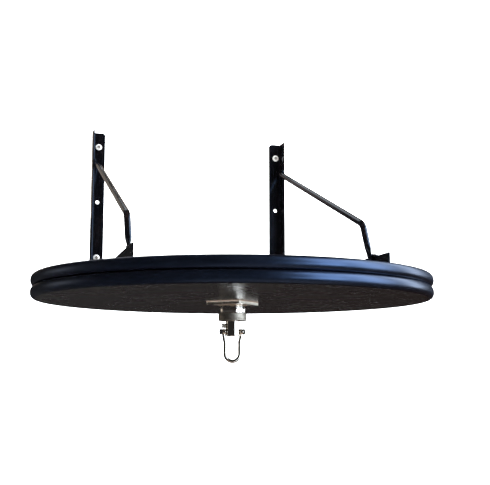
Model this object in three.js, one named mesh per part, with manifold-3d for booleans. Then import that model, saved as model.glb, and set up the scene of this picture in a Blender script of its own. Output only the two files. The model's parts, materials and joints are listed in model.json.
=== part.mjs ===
// Speed bag platform: a round two-ply drum board on a pair of wall brackets, with a ball-bearing
// swivel and a shackle under its middle.
//
// Units are millimetres, +Z up. The wall is the plane Y = 0 and the platform reaches out along -Y.
// X = 0 is midway between the brackets, and Z = 0 is the top of the board, where the arms lie.

import * as THREE from 'three';
import { mergeVertices } from 'three/addons/utils/BufferGeometryUtils.js';
import Module from 'manifold-3d';

const wasm = await Module();
wasm.setup();

// ---- Driving dimensions ------------------------------------------------------------------------

const GAP = 0.3; // clearance between touching pieces
const ROUND = 72; // facets round the board

const BOARD = {
  diameter: 610, // over the edge trim
  sheet: 18, // thickness of one of the two plies
  wallToCentre: 340,
};
const TRIM = { bulge: 6.5, base: 1 }; // how far the bead stands out, and the strip behind it
const ANGLE = { width: 25, thick: 3, toe: 0.9, root: 1.2 }; // steel angle

const BRACKET = {
  half: 187, // from the middle to the outer face of an upright
  height: 305,
  reach: 520, // from the wall to the front end of an arm
  cornerRadius: 6,
  wallHole: 7,
  wallHoleDrops: [28, 133, 238], // from the top end of the upright
  boardHole: 6.5,
  boardHoleReach: [125, 310, 495],
  boardHoleInset: 14, // from the arm's heel
};
const BRACE = {
  diameter: 10,
  top: [-10, 247], // [Y, Z] of the rod's axis
  bend: [-435, 78],
  foot: [-468, 6.5],
  bendRadius: 24,
  blade: 4, // thickness of the flattened foot
  flatFrom: 42, // height where the flattening starts
  flatTo: 30,
};

const SWIVEL = {
  plateSide: 60,
  plateThick: 5,
  plateCorner: 3,
  holeReach: 34, // plate hole from the centre, along a diagonal
  housingRadius: 21.4,
  housingWaist: 20.9,
  housingHeight: 12.5,
  ringRadius: 21.8,
  ringHeight: 12,
  cavityRadius: 16.5,
  spindleRadius: 10.3,
  spindleHead: 15,
  spindleEnd: 52.7, // below the board's underside
  pinDrop: 46, // below the board's underside
  lockDrop: 37,
};
const BEARING = { balls: 8, ball: 4, pitch: 13.45, race: 1.5, inner: 10.8, outer: 16.1 };
const SHACKLE = { rod: 5.8, legHalf: 11.5, eyeHalf: 13.8, eyeRadius: 4.5, length: 48, pin: 5 };

// ---- Derived places ----------------------------------------------------------------------------

const UNDERSIDE = -2 * BOARD.sheet;
const CENTRE_Y = -BOARD.wallToCentre;
const BOARD_RADIUS = BOARD.diameter / 2 - TRIM.bulge - TRIM.base;
const ARM_HEEL = BRACKET.half - ANGLE.thick - GAP;
const BRACE_X = ARM_HEEL - ANGLE.thick - GAP - BRACE.blade / 2;
const BOARD_HOLE_X = ARM_HEEL - BRACKET.boardHoleInset;
const HOUSING_TOP = UNDERSIDE - SWIVEL.plateThick;
const RING_TOP = HOUSING_TOP - SWIVEL.housingHeight;
const PIN_Z = UNDERSIDE - SWIVEL.pinDrop;
const LOCK_Z = UNDERSIDE - SWIVEL.lockDrop;
const PLATE_HOLES = [[1, 0], [0, 1], [-1, 0], [0, -1]].map(([x, y]) => [
  x * SWIVEL.holeReach,
  CENTRE_Y + y * SWIVEL.holeReach,
]);

// ---- Materials ---------------------------------------------------------------------------------

const finish = (color, roughness, metalness) =>
  new THREE.MeshStandardMaterial({ color, roughness, metalness });

const LOOKS = {
  board: () => finish(0x2e2c2b, 0.45, 0),
  trim: () => finish(0x14151a, 0.25, 0),
  paint: () => finish(0x17151a, 0.3, 0.1),
  zinc: () => finish(0xc9cbd0, 0.3, 1),
  darkSteel: () => finish(0x4a423e, 0.45, 1),
  chrome: () => finish(0xd8dade, 0.08, 1),
  brushed: () => finish(0x8f8f88, 0.4, 1),
};

const platform = new THREE.Group();

function place(name, geometry, look) {
  const mesh = new THREE.Mesh(geometry, LOOKS[look]());
  mesh.name = name;
  platform.add(mesh);
}

// ---- Solids ------------------------------------------------------------------------------------

function welded(geometry) {
  const bare = geometry.clone();
  bare.deleteAttribute('normal');
  bare.deleteAttribute('uv');
  return mergeVertices(bare, 1e-4);
}

function solid(geometry) {
  const bare = welded(geometry);
  return new wasm.Manifold(new wasm.Mesh({
    numProp: 3,
    vertProperties: new Float32Array(bare.attributes.position.array),
    triVerts: new Uint32Array(bare.index.array),
  }));
}

function geometryOf(manifold) {
  const mesh = manifold.getMesh();
  const geometry = new THREE.BufferGeometry();
  geometry.setAttribute('position', new THREE.BufferAttribute(mesh.vertProperties, 3));
  geometry.setIndex(new THREE.BufferAttribute(mesh.triVerts, 1));
  return geometry;
}

function cut(geometry, ...tools) {
  const body = tools.reduce((left, tool) => left.subtract(solid(tool)), solid(geometry));
  return geometryOf(body);
}

function joined(first, ...others) {
  return geometryOf(others.reduce((sum, other) => sum.add(solid(other)), solid(first)));
}

// The same piece on the other side of X = 0, with its faces still pointing out.
function mirrored(geometry) {
  const twin = welded(geometry).scale(-1, 1, 1);
  const corners = twin.index.array;
  for (let i = 0; i < corners.length; i += 3) {
    [corners[i], corners[i + 1]] = [corners[i + 1], corners[i]];
  }
  return twin;
}

function cylinder(radius, length, sides = 24) {
  return new THREE.CylinderGeometry(radius, radius, length, sides);
}

// A cylinder along an axis, from one coordinate to another on that axis.
function rod(axis, radius, from, to, [a, b], sides = 24) {
  const geometry = cylinder(radius, to - from, sides).translate(0, (from + to) / 2, 0);
  if (axis === 'x') return geometry.rotateZ(-Math.PI / 2).translate(0, a, b);
  if (axis === 'y') return geometry.translate(a, 0, b);
  return geometry.rotateX(Math.PI / 2).translate(a, b, 0);
}

function extruded(shape, depth, curveSegments = 4) {
  return new THREE.ExtrudeGeometry(shape, { depth, bevelEnabled: false, curveSegments });
}

// A body of revolution about a vertical line through the board's centre; points are [radius, z].
function turned(points, segments) {
  const profile = points.map(([radius, z]) => new THREE.Vector2(radius, z));
  return new THREE.LatheGeometry(profile, segments).rotateX(Math.PI / 2).translate(0, CENTRE_Y, 0);
}

function ring(inner, outer, top, bottom, segments = 32) {
  return turned([[inner, bottom], [outer, bottom], [outer, top], [inner, top], [inner, bottom]], segments);
}

// Joins rings of points into one closed body, with a flat cap on the first and the last ring.
function loft(rings) {
  const sides = rings[0].length;
  const positions = rings.flat().flatMap((point) => [point.x, point.y, point.z]);
  const index = [];
  for (let i = 0; i + 1 < rings.length; i += 1) {
    for (let j = 0; j < sides; j += 1) {
      const a = i * sides + j;
      const b = i * sides + ((j + 1) % sides);
      index.push(a, b, b + sides, a, b + sides, a + sides);
    }
  }
  const last = (rings.length - 1) * sides;
  for (let j = 1; j + 1 < sides; j += 1) {
    index.push(0, j + 1, j, last, last + j, last + j + 1);
  }
  const geometry = new THREE.BufferGeometry();
  geometry.setAttribute('position', new THREE.Float32BufferAttribute(positions, 3));
  geometry.setIndex(index);
  return geometry;
}

// Rings of an ellipse around a path that lies in a plane. `across` is the direction out of that
// plane, and `radii(point)` gives the half sizes [across the plane, in the plane].
function sweptRings(path, across, radii, sides) {
  return path.map((point, i) => {
    const ahead = path[Math.min(i + 1, path.length - 1)];
    const behind = path[Math.max(i - 1, 0)];
    const inPlane = ahead.clone().sub(behind).normalize().cross(across);
    const [wide, deep] = radii(point);
    return Array.from({ length: sides }, (_, j) => {
      const angle = (2 * Math.PI * (j + 0.5)) / sides;
      return point.clone()
        .addScaledVector(across, wide * Math.cos(angle))
        .addScaledVector(inPlane, deep * Math.sin(angle));
    });
  });
}

// ---- Board -------------------------------------------------------------------------------------

function screwPilots(sides) {
  const pilots = [];
  for (const side of [-1, 1]) {
    for (const reach of BRACKET.boardHoleReach) {
      pilots.push(rod('z', 3, -31, 1, [side * BOARD_HOLE_X, -reach], sides));
    }
  }
  for (const hole of PLATE_HOLES) {
    pilots.push(rod('z', 2.5, UNDERSIDE - 1, UNDERSIDE + 17, hole, sides));
  }
  return pilots;
}

function board(top) {
  const bottom = top - BOARD.sheet;
  const disc = rod('z', BOARD_RADIUS - GAP, bottom, top, [0, CENTRE_Y], ROUND);
  return cut(disc, ...screwPilots(10));
}

// One bead of soft edging: a flat strip against the board and a rounded outside.
function edgeTrim(top) {
  const half = BOARD.sheet / 2;
  const profile = [[BOARD_RADIUS, top - BOARD.sheet]];
  const steps = 6;
  for (let i = 0; i <= steps; i += 1) {
    const angle = -Math.PI / 2 + (Math.PI * i) / steps;
    profile.push([
      BOARD_RADIUS + TRIM.base + TRIM.bulge * Math.cos(angle),
      top - half + (half - GAP / 2) * Math.sin(angle),
    ]);
  }
  profile.push([BOARD_RADIUS, top], [BOARD_RADIUS, top - BOARD.sheet]);
  return turned(profile, ROUND);
}

place('upper_board', board(0), 'board');
place('lower_board', board(-BOARD.sheet), 'board');
place('upper_edge_trim', edgeTrim(0), 'trim');
place('lower_edge_trim', edgeTrim(-BOARD.sheet), 'trim');

// ---- Brackets, modelled on the right and mirrored -------------------------------------------------

function angleShape() {
  const { width, thick, toe, root } = ANGLE;
  const shape = new THREE.Shape();
  shape.moveTo(0, 0);
  shape.lineTo(width, 0);
  shape.lineTo(width, thick - toe);
  shape.absarc(width - toe, thick - toe, toe, 0, Math.PI / 2);
  shape.lineTo(thick + root, thick);
  shape.absarc(thick + root, thick + root, root, -Math.PI / 2, -Math.PI, true);
  shape.lineTo(thick, width - toe);
  shape.absarc(thick - toe, width - toe, toe, 0, Math.PI / 2);
  shape.lineTo(0, width);
  return shape;
}

// What is left outside a rounded corner: a square with a quarter circle taken out of it.
function cornerOffcut(radius) {
  const over = 1;
  const shape = new THREE.Shape();
  shape.moveTo(0, radius);
  shape.absarc(0, 0, radius, Math.PI / 2, 0, true);
  shape.lineTo(radius + over, 0);
  shape.lineTo(radius + over, radius + over);
  shape.lineTo(0, radius + over);
  return shape;
}

function upright() {
  const { half, height, cornerRadius, wallHole, wallHoleDrops } = BRACKET;
  const angle = extruded(angleShape(), height).rotateZ(Math.PI).translate(half, 0, 0);
  const holeX = half - ANGLE.width / 2;
  const holes = wallHoleDrops.map((drop) => rod('y', wallHole / 2, -10, 5, [holeX, height - drop]));
  const corner = extruded(cornerOffcut(cornerRadius), 10)
    .rotateX(Math.PI / 2)
    .scale(-1, -1, 1)
    .translate(half - ANGLE.width + cornerRadius, -5, height - cornerRadius);
  return cut(angle, ...holes, corner);
}

function arm() {
  const rear = ANGLE.thick + ANGLE.root + GAP;
  const frame = new THREE.Matrix4().makeBasis(
    new THREE.Vector3(-1, 0, 0),
    new THREE.Vector3(0, 0, 1),
    new THREE.Vector3(0, 1, 0),
  );
  const angle = extruded(angleShape(), BRACKET.reach - rear)
    .applyMatrix4(frame)
    .translate(ARM_HEEL, -BRACKET.reach, 0);
  const holes = BRACKET.boardHoleReach.map((reach) =>
    rod('z', BRACKET.boardHole / 2, -5, 10, [BOARD_HOLE_X, -reach]));
  return cut(angle, ...holes);
}

// The rod's axis: two straight runs joined by an arc.
function braceAxis() {
  const [top, bend, foot] = [BRACE.top, BRACE.bend, BRACE.foot]
    .map(([y, z]) => new THREE.Vector3(BRACE_X, y, z));
  const back = top.clone().sub(bend).normalize();
  const down = foot.clone().sub(bend).normalize();
  const halfAngle = back.angleTo(down) / 2;
  const setback = BRACE.bendRadius / Math.tan(halfAngle);
  const toCentre = back.clone().add(down).normalize();
  const centre = bend.clone().addScaledVector(toCentre, BRACE.bendRadius / Math.sin(halfAngle));
  const start = bend.clone().addScaledVector(back, setback).sub(centre);
  const turn = Math.PI - 2 * halfAngle;
  const steps = 6;
  const arc = Array.from({ length: steps + 1 }, (_, i) =>
    start.clone().applyAxisAngle(new THREE.Vector3(1, 0, 0), (turn * i) / steps).add(centre));
  const along = (height) => bend.clone().lerp(foot, (bend.z - height) / (bend.z - foot.z));
  const flattening = [0, 0.33, 0.67, 1]
    .map((t) => along(THREE.MathUtils.lerp(BRACE.flatFrom, BRACE.flatTo, t)));
  return [top, ...arc, ...flattening, foot];
}

function brace(extra = 0) {
  const radius = BRACE.diameter / 2;
  const radii = (point) => {
    const flat = 1 - THREE.MathUtils.smoothstep(point.z, BRACE.flatTo, BRACE.flatFrom);
    return [
      THREE.MathUtils.lerp(radius, BRACE.blade / 2, flat) + extra,
      THREE.MathUtils.lerp(radius, radius * 1.3, flat) + extra,
    ];
  };
  return loft(sweptRings(braceAxis(), new THREE.Vector3(1, 0, 0), radii, 16));
}

// A lump of weld, trimmed back from the pieces that it joins.
function weld(centre, size, ...neighbours) {
  const lump = new THREE.SphereGeometry(1, 10, 6).scale(...size).translate(...centre);
  return cut(lump, ...neighbours);
}

function slab([x0, x1], [y0, y1], [z0, z1]) {
  return new THREE.BoxGeometry(x1 - x0, y1 - y0, z1 - z0)
    .translate((x0 + x1) / 2, (y0 + y1) / 2, (z0 + z1) / 2);
}

const uprightFlange = slab(
  [BRACKET.half - ANGLE.thick - GAP, BRACKET.half + 20], [-ANGLE.width - 20, 0], [0, 400]);
const armFlange = slab(
  [ARM_HEEL - ANGLE.thick - GAP, ARM_HEEL + GAP], [-600, 0], [-GAP, ANGLE.width + GAP]);

function braceTopWeld() {
  const centre = [BRACKET.half - ANGLE.thick - 2, -17, 251];
  return weld(centre, [4, 8, 4.5], uprightFlange, brace(GAP));
}

function braceFootWeld() {
  const centre = [ARM_HEEL - ANGLE.thick, BRACE.foot[0] - 3, ANGLE.width + 1];
  return weld(centre, [4, 9, 4.5], armFlange, brace(GAP));
}

// The fillet where the arm's outer face meets the front edge of the upright.
function cornerWeld() {
  const leg = 2.7;
  const shape = new THREE.Shape();
  shape.moveTo(0, 0);
  shape.lineTo(0, -leg - 1.3);
  shape.lineTo(leg, 0);
  return extruded(shape, ANGLE.width - 1).translate(ARM_HEEL + GAP, -ANGLE.width - GAP, 0.5);
}

const bracketPieces = [
  ['upright', upright()],
  ['arm', arm()],
  ['brace', brace()],
  ['brace_top_weld', braceTopWeld()],
  ['brace_foot_weld', braceFootWeld()],
  ['corner_weld', cornerWeld()],
];
for (const [name, geometry] of bracketPieces) {
  place(`right_${name}`, geometry, 'paint');
  place(`left_${name}`, mirrored(geometry), 'paint');
}

// ---- Screws ------------------------------------------------------------------------------------

// A screw that points up from its seat at the origin; the head hangs below the seat.
function screw({ headRadius, headHeight, shankRadius, length, dome, sides = 16, recess }) {
  const profile = [[0, -headHeight]];
  const steps = dome ? 4 : 1;
  for (let i = steps - 1; i >= 0; i -= 1) {
    const angle = (Math.PI / 2) * (i / steps);
    profile.push(dome
      ? [headRadius * Math.cos(angle), -headHeight * (0.3 + 0.7 * Math.sin(angle))]
      : [headRadius, -headHeight]);
  }
  profile.push([headRadius, 0], [shankRadius, 0], [shankRadius, length - 2 * shankRadius]);
  profile.push([0, length]);
  const points = profile.map(([radius, z]) => new THREE.Vector2(radius, z));
  const body = new THREE.LatheGeometry(points, sides).rotateX(Math.PI / 2);
  return recess ? cut(body, ...crossRecess(recess, headHeight)) : body;
}

function crossRecess(width, headHeight) {
  const depth = headHeight * 0.55;
  const bar = (x, y) => slab([-x / 2, x / 2], [-y / 2, y / 2], [-headHeight - 1, -headHeight + depth]);
  return [bar(width, width / 4), bar(width / 4, width)];
}

function wallScrew() {
  const pan = {
    headRadius: 6, headHeight: 4.2, shankRadius: 2.75, length: 42, dome: true, recess: 6.4,
  };
  return screw(pan).rotateX(-Math.PI / 2);
}

// A hexagonal head with a built-in washer, pointing down into the board.
function boardScrew() {
  const shank = { headRadius: 6, headHeight: 1.2, shankRadius: 2.6, length: 32, dome: false };
  const hexagon = cylinder(4.6, 5, 6).rotateX(Math.PI / 2).translate(0, 0, -3.4);
  return joined(screw(shank), hexagon).rotateX(Math.PI);
}

// A countersunk screw, flush with the underside of the swivel plate.
function plateScrew() {
  const { plateThick } = SWIVEL;
  const sink = 2.6;
  const points = [[0, 0], [4.6, 0], [2.2, sink], [2.2, plateThick + 12], [0, plateThick + 16]];
  const profile = points.map(([radius, z]) => new THREE.Vector2(radius, z));
  const body = new THREE.LatheGeometry(profile, 16).rotateX(Math.PI / 2);
  const slots = crossRecess(5, 1).map((slot) => slot.translate(0, 0, 1));
  return cut(body, ...slots);
}

for (const [side, sign] of [['left', -1], ['right', 1]]) {
  const wallX = sign * (BRACKET.half - ANGLE.width / 2);
  const wallHeights = [['upper', BRACKET.wallHoleDrops[0]], ['lower', BRACKET.wallHoleDrops[2]]];
  for (const [level, drop] of wallHeights) {
    const seated = wallScrew().translate(wallX, -ANGLE.thick - GAP, BRACKET.height - drop);
    place(`${side}_${level}_wall_screw`, seated, 'zinc');
  }
  BRACKET.boardHoleReach.forEach((reach, i) => {
    const seated = boardScrew().translate(sign * BOARD_HOLE_X, -reach, ANGLE.thick + GAP);
    place(`${side}_board_screw_${i + 1}`, seated, 'zinc');
  });
}
PLATE_HOLES.forEach(([x, y], i) => {
  const seated = plateScrew().translate(x, y, HOUSING_TOP - 0.2);
  place(`swivel_plate_screw_${i + 1}`, seated, 'darkSteel');
});

// ---- Swivel ------------------------------------------------------------------------------------

function swivelPlate() {
  const { plateSide, plateThick, plateCorner } = SWIVEL;
  const reach = plateSide / 2 - plateCorner;
  const shape = new THREE.Shape();
  for (let i = 0; i < 4; i += 1) {
    const angle = (Math.PI / 2) * i;
    const x = reach * (i === 0 || i === 3 ? 1 : -1);
    const y = reach * (i < 2 ? 1 : -1);
    shape.absarc(x, y, plateCorner, angle, angle + Math.PI / 2);
  }
  const plate = extruded(shape, plateThick)
    .rotateZ(Math.PI / 4)
    .translate(0, CENTRE_Y, HOUSING_TOP);
  const holes = PLATE_HOLES.flatMap((hole) => [
    rod('z', 2.6, HOUSING_TOP - 1, UNDERSIDE + 1, hole, 16),
    countersink(hole),
  ]);
  return cut(plate, ...holes);
}

function countersink([x, y]) {
  const points = [[0, -1], [6.1, -1], [2.2, 3.1], [0, 3.1]];
  const profile = points.map(([radius, z]) => new THREE.Vector2(radius, z));
  return new THREE.LatheGeometry(profile, 16).rotateX(Math.PI / 2).translate(x, y, HOUSING_TOP);
}

// A barrel-sided cup, open at both ends, that hangs from the plate.
function housing() {
  const { housingRadius, housingWaist, cavityRadius } = SWIVEL;
  const top = HOUSING_TOP - GAP;
  const bottom = RING_TOP;
  const steps = 6;
  const profile = [[cavityRadius, bottom]];
  for (let i = 0; i <= steps; i += 1) {
    const rise = Math.sin((Math.PI * i) / steps);
    profile.push([
      housingWaist + (housingRadius - housingWaist) * rise,
      THREE.MathUtils.lerp(bottom, top, i / steps),
    ]);
  }
  profile.push([cavityRadius, top], [cavityRadius, bottom]);
  return turned(profile, 32);
}

const LOWER_RACE_TOP = RING_TOP + 0.5;
const UPPER_RACE_BOTTOM = LOWER_RACE_TOP + BEARING.ball + 2 * 0.05;
const BALL_Z = (LOWER_RACE_TOP + UPPER_RACE_BOTTOM) / 2;

// The turned ring that closes the housing and carries the lower race on a ledge.
function retainingRing() {
  const { ringRadius, ringHeight, cavityRadius, spindleRadius } = SWIVEL;
  const top = RING_TOP - GAP;
  const bottom = RING_TOP - ringHeight;
  const ledge = LOWER_RACE_TOP - BEARING.race - GAP;
  const bore = spindleRadius + 0.4;
  const edge = 0.8;
  return turned([
    [bore, bottom],
    [ringRadius - edge, bottom],
    [ringRadius, bottom + edge],
    [ringRadius, top - edge],
    [ringRadius - edge, top],
    [cavityRadius, top],
    [cavityRadius, ledge],
    [bore, ledge],
    [bore, bottom],
  ], 32);
}

function ballCentre(i) {
  const angle = (2 * Math.PI * i) / BEARING.balls;
  return [BEARING.pitch * Math.cos(angle), CENTRE_Y + BEARING.pitch * Math.sin(angle)];
}

function ballCage() {
  const half = 0.8;
  const body = ring(BEARING.inner, BEARING.outer, BALL_Z + half, BALL_Z - half);
  const pockets = Array.from({ length: BEARING.balls }, (_, i) =>
    rod('z', BEARING.ball / 2 + 0.15, BALL_Z - 3, BALL_Z + 3, ballCentre(i), 12));
  return cut(body, ...pockets);
}

function bearingBall(i) {
  return new THREE.SphereGeometry(BEARING.ball / 2, 10, 6).translate(...ballCentre(i), BALL_Z);
}

function spindle() {
  const { spindleRadius, spindleHead, spindleEnd } = SWIVEL;
  const headBottom = UPPER_RACE_BOTTOM + BEARING.race + GAP;
  const headTop = HOUSING_TOP - 1;
  const end = UNDERSIDE - spindleEnd;
  const edge = 0.8;
  const body = turned([
    [0, end],
    [spindleRadius - edge, end],
    [spindleRadius, end + edge],
    [spindleRadius, headBottom],
    [spindleHead, headBottom],
    [spindleHead, headTop],
    [0, headTop],
  ], 32);
  const pinBore = rod('x', SHACKLE.pin / 2 + 0.3, -20, 20, [CENTRE_Y, PIN_Z], 20);
  const lockBore = rod('x', 2.3, -20, -2, [CENTRE_Y, LOCK_Z], 16);
  return cut(body, pinBore, lockBore);
}

// A knurl-headed screw in the side of the spindle.
function lockScrew() {
  const seat = -SWIVEL.spindleRadius - GAP;
  const head = rod('x', 3.6, seat - 6, seat, [CENTRE_Y, LOCK_Z], 20);
  const groove = ringAlongX(3, 5, seat - 3.4, seat - 2.6);
  const shank = rod('x', 2, seat - 1, -3, [CENTRE_Y, LOCK_Z], 16);
  return joined(cut(head, groove), shank);
}

function ringAlongX(inner, outer, from, to) {
  const points = [[inner, from], [outer, from], [outer, to], [inner, to], [inner, from]];
  const profile = points.map(([radius, x]) => new THREE.Vector2(radius, x));
  return new THREE.LatheGeometry(profile, 20).rotateZ(-Math.PI / 2).translate(0, CENTRE_Y, LOCK_Z);
}

place('swivel_plate', swivelPlate(), 'brushed');
place('swivel_housing', housing(), 'chrome');
place('swivel_retaining_ring', retainingRing(), 'brushed');
const raceTops = [['lower', LOWER_RACE_TOP], ['upper', UPPER_RACE_BOTTOM + BEARING.race]];
for (const [level, top] of raceTops) {
  place(`${level}_bearing_race`, ring(BEARING.inner, BEARING.outer, top, top - BEARING.race), 'brushed');
}
place('ball_cage', ballCage(), 'brushed');
for (let i = 0; i < BEARING.balls; i += 1) {
  place(`bearing_ball_${i + 1}`, bearingBall(i), 'chrome');
}
place('spindle', spindle(), 'chrome');
place('spindle_lock_screw', lockScrew(), 'brushed');

// ---- Shackle -----------------------------------------------------------------------------------

// The bow's axis: down one leg, round the bottom and up the other, drawn in the X-Z plane.
function shackleAxis() {
  const { legHalf, eyeHalf, length, rod: thickness } = SHACKLE;
  const bowZ = PIN_Z - length + thickness / 2 + legHalf;
  const legs = [[eyeHalf, 3], [eyeHalf, 8], [12.9, 10.7], [12.1, 13.3], [legHalf, 16]];
  const leg = (sign) => legs.map(([x, drop]) => new THREE.Vector3(sign * x, CENTRE_Y, PIN_Z - drop));
  const steps = 10;
  const bow = Array.from({ length: steps + 1 }, (_, i) => {
    const angle = (-Math.PI * i) / steps;
    return new THREE.Vector3(legHalf * Math.cos(angle), CENTRE_Y, bowZ + legHalf * Math.sin(angle));
  });
  return [...leg(1), ...bow, ...leg(-1).reverse()];
}

function shackle() {
  const radius = SHACKLE.rod / 2;
  const bow = loft(sweptRings(shackleAxis(), new THREE.Vector3(0, 1, 0), () => [radius, radius], 12));
  const { eyeHalf, eyeRadius, pin } = SHACKLE;
  const eye = (middle) => rod(
    'x', eyeRadius, middle - radius + 0.1, middle + radius - 0.1, [CENTRE_Y, PIN_Z], 20);
  const bore = rod('x', pin / 2 + GAP, -30, 30, [CENTRE_Y, PIN_Z], 20);
  return cut(joined(bow, eye(eyeHalf), eye(-eyeHalf)), bore);
}

function shacklePin() {
  const seat = SHACKLE.eyeHalf + SHACKLE.rod / 2 + GAP;
  const shank = rod('x', SHACKLE.pin / 2, -seat - 3.6, seat + 0.5, [CENTRE_Y, PIN_Z], 20);
  const head = rod('x', 4.6, seat, seat + 2.6, [CENTRE_Y, PIN_Z], 6);
  return joined(shank, head);
}

function shackleNut() {
  const seat = SHACKLE.eyeHalf + SHACKLE.rod / 2 + GAP;
  const body = rod('x', 4.6, -seat - 2.8, -seat, [CENTRE_Y, PIN_Z], 6);
  return cut(body, rod('x', SHACKLE.pin / 2 + GAP, -30, 0, [CENTRE_Y, PIN_Z], 20));
}

place('shackle', shackle(), 'chrome');
place('shackle_pin', shacklePin(), 'darkSteel');
place('shackle_nut', shackleNut(), 'darkSteel');

export default platform;
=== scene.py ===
"""Speed bag platform: camera, studio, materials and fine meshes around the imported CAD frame.

Metres, in the CAD frame: the wall is the plane Y = 0, the board reaches along -Y, Z is up.
"""

import json
import math

import bmesh
import bpy
from mathutils import Matrix, Vector, noise


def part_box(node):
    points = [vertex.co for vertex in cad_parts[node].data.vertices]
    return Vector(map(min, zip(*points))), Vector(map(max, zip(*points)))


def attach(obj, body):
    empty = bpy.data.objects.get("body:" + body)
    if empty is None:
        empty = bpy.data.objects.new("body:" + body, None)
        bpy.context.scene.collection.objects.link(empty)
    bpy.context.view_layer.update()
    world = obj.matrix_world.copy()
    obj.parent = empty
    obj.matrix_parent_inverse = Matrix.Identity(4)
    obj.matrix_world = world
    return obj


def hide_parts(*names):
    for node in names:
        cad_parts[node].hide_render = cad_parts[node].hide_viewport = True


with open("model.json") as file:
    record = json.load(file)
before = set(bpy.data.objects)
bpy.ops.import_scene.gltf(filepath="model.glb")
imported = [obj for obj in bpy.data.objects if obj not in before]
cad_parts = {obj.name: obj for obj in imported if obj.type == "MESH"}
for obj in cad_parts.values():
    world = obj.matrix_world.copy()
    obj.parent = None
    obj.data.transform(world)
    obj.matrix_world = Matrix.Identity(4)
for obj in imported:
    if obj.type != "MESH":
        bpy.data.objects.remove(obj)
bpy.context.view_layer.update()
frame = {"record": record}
MM = 0.001

# ---- Places taken from the frame ---------------------------------------------------------------

BOARD_LOW, BOARD_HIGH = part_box("lower_board")[0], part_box("upper_board")[1]
TRIM_LOW, TRIM_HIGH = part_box("upper_edge_trim")
CENTRE = Vector(((TRIM_LOW.x + TRIM_HIGH.x) / 2, (TRIM_LOW.y + TRIM_HIGH.y) / 2, 0))  # of the board
BOARD_RADIUS = (BOARD_HIGH.x - BOARD_LOW.x) / 2
TRIM_RADIUS = (TRIM_HIGH.x - TRIM_LOW.x) / 2
SIDES = ("right", "left")


def middle_of(node):
    """The middle of a CAD node's box."""
    low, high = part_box(node)
    return [(a + b) / 2 for a, b in zip(low, high)]


# ---- Camera ------------------------------------------------------------------------------------

CAMERA_PLACE = Vector((-0.3556, -1.7108, -0.1441))
CAMERA_YAW = 0.2674  # radians, from +Y towards +X
CAMERA_PITCH = 0.1406  # radians, upwards
CAMERA_LENS = 67.56  # mm
CAMERA_SENSOR = 36  # mm


def make_camera():
    data = bpy.data.cameras.new("camera")
    data.sensor_width = CAMERA_SENSOR
    data.lens = CAMERA_LENS
    data.clip_start = 0.05
    data.clip_end = 100
    camera = bpy.data.objects.new("camera", data)
    flat = math.cos(CAMERA_PITCH)
    ahead = Vector((math.sin(CAMERA_YAW) * flat, math.cos(CAMERA_YAW) * flat, math.sin(CAMERA_PITCH)))
    camera.location = CAMERA_PLACE
    camera.rotation_mode = "QUATERNION"
    camera.rotation_quaternion = ahead.to_track_quat("-Z", "Y")
    bpy.context.scene.collection.objects.link(camera)
    bpy.context.scene.camera = camera


make_camera()

# ---- Node graphs -------------------------------------------------------------------------------


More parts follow.
